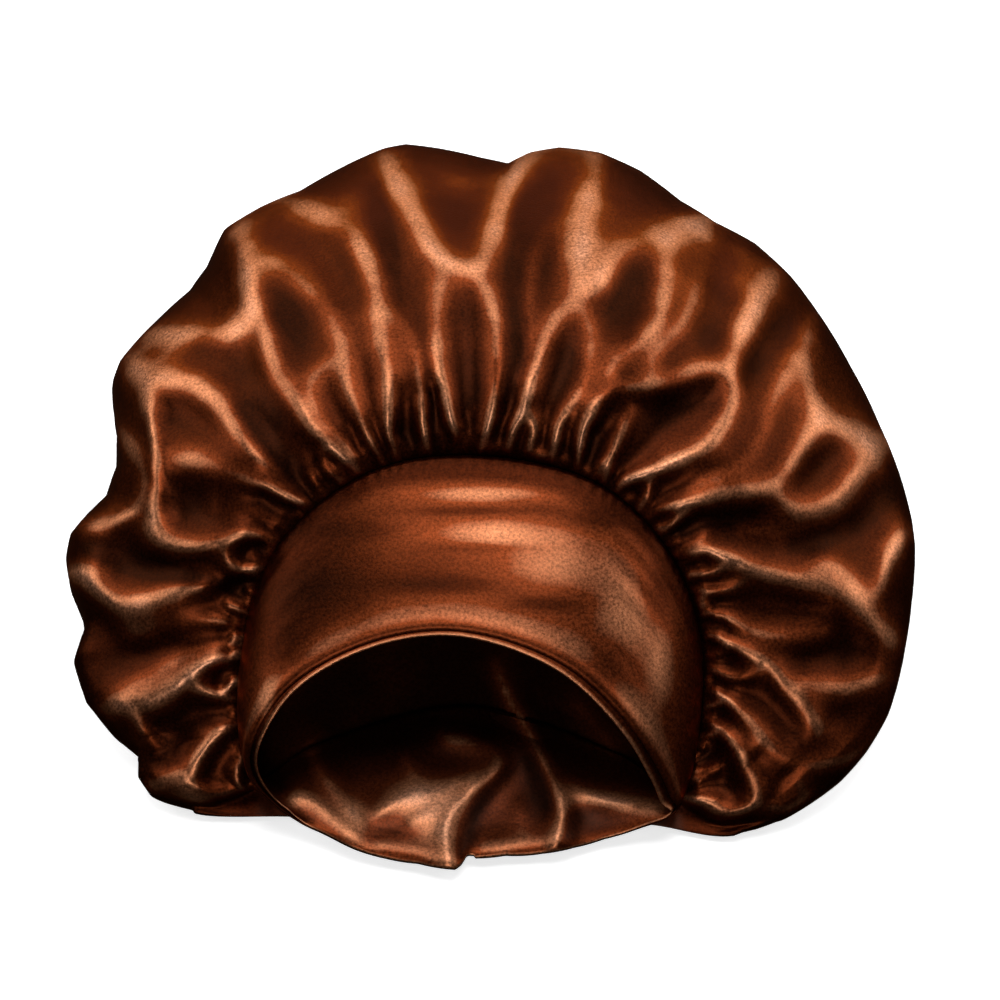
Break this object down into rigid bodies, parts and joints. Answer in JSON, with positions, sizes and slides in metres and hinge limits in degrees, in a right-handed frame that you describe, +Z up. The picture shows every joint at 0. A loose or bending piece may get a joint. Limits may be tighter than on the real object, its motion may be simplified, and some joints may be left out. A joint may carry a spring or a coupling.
{
  "type": "sleep bonnet",
  "caption": "Gathered satin sleep bonnet lying with its wide smooth band and open mouth to the front and its puffed crown fanned out behind.",
  "frame": {"origin": "on the floor under the middle of the bonnet's box", "axes": "+X to the right as seen from the open side, +Y away from the open side, +Z up"},
  "size_m": [0.3848, 0.3742, 0.1442],
  "materials": {
    "crown_satin": "dark copper-brown satin, lustrous, gathered",
    "band_satin": "dark copper-brown satin, lustrous, smooth"
  },
  "bodies": {
    "root": {"crown": "crown_satin", "band": "band_satin"}
  },
  "joints": []
}
